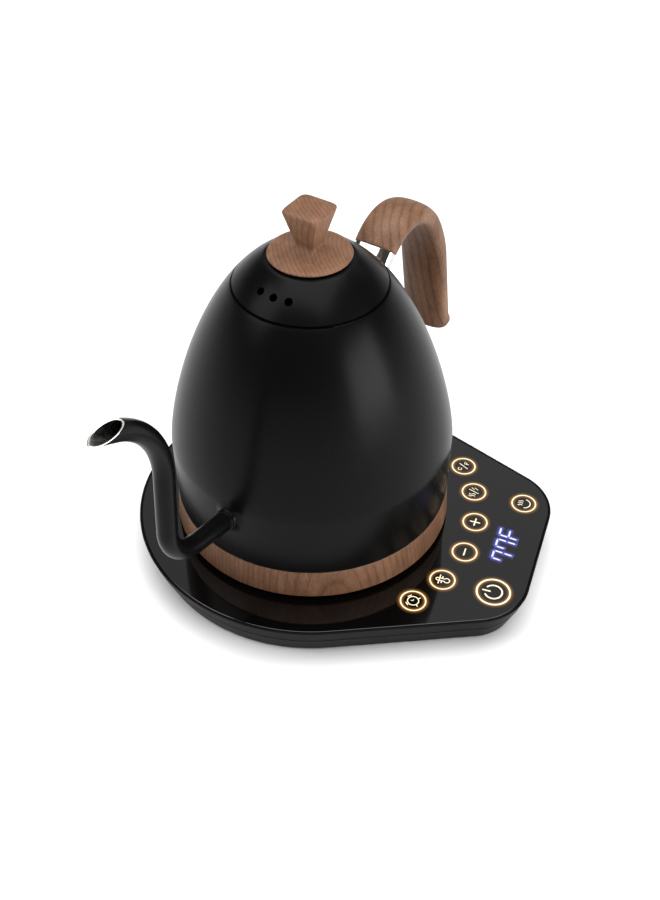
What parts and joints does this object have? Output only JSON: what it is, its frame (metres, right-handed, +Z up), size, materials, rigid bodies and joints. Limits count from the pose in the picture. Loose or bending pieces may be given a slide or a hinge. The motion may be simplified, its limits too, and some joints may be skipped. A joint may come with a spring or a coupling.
{
  "type": "electric gooseneck kettle",
  "caption": "Egg-shaped gooseneck kettle with a lift-off lid and a curved wooden grip, on a heated base with touch keys and a lit display",
  "frame": {"origin": "On the axis of the kettle and its round connector, on the plane the base's feet stand on.", "axes": "+Z is up. The control panel faces -Y. The spout points to -X and the handle to +X, turned by 14.65 degrees clockwise seen from above."},
  "size_m": [0.2512, 0.2023, 0.189],
  "materials": {
    "satin_black": "satin powder coat",
    "black_plastic": "fine matt",
    "black_glass": "gloss, black behind",
    "film": "printed film with clear symbols",
    "white_plastic": "milky",
    "display": "gloss",
    "board": "lacquered board",
    "blue_plastic": "moulded",
    "brown_plastic": "moulded",
    "contact_brass": "bright",
    "rubber": "matt",
    "silicone": "matt",
    "spring_steel": "plain",
    "bare_steel": "brushed",
    "polished_steel": "polished",
    "aluminium": "plain",
    "walnut": "oiled, matt"
  },
  "bodies": {
    "base": {"lower_housing": "black_plastic", "upper_frame": "black_plastic", "glass_top": "black_glass", "icon_film": "film", "light_guide": "white_plastic", "touch_springs": "spring_steel", "display_module": "display", "control_board": "board", "power_board": "board", "power_relay": "blue_plastic", "buzzer": "black_plastic", "base_connector": "black_plastic", "base_contacts": "contact_brass", "rubber_feet": "rubber", "base_screws": "spring_steel", "cord_gland": "rubber"},
    "kettle_plug": {"kettle_connector": "black_plastic", "plug_contacts": "contact_brass"},
    "kettle": {"kettle_body": "satin_black", "vessel_floor": "bare_steel", "heat_diffuser": "aluminium", "heating_element": "aluminium", "thermal_cutout": "brown_plastic", "temperature_probe": "bare_steel", "probe_grommet": "silicone", "cover_posts": "bare_steel", "wood_band": "walnut", "bottom_cover": "black_plastic", "cover_screws": "spring_steel", "spout_tube": "satin_black", "spout_collar": "satin_black", "handle_neck": "polished_steel", "handle_core": "bare_steel", "handle_grip": "walnut", "grip_screw": "spring_steel"},
    "lid": {"lid_shell": "satin_black", "lid_plug": "bare_steel", "lid_seal": "silicone", "lid_knob": "walnut", "knob_screw": "spring_steel", "knob_washer": "rubber"}
  },
  "joints": [
    {"name": "kettle_lift", "type": "slide", "parent": "base", "child": "kettle_plug", "axis": [0, 0, 1], "range_m": [0, 0.12]},
    {"name": "kettle_swivel", "type": "hinge", "parent": "kettle_plug", "child": "kettle", "pos_m": [0, 0, 0.024], "axis": [0, 0, 1], "continuous": true},
    {"name": "lid_lift", "type": "slide", "parent": "kettle", "child": "lid", "axis": [0, 0, 1], "range_m": [0, 0.06]}
  ]
}
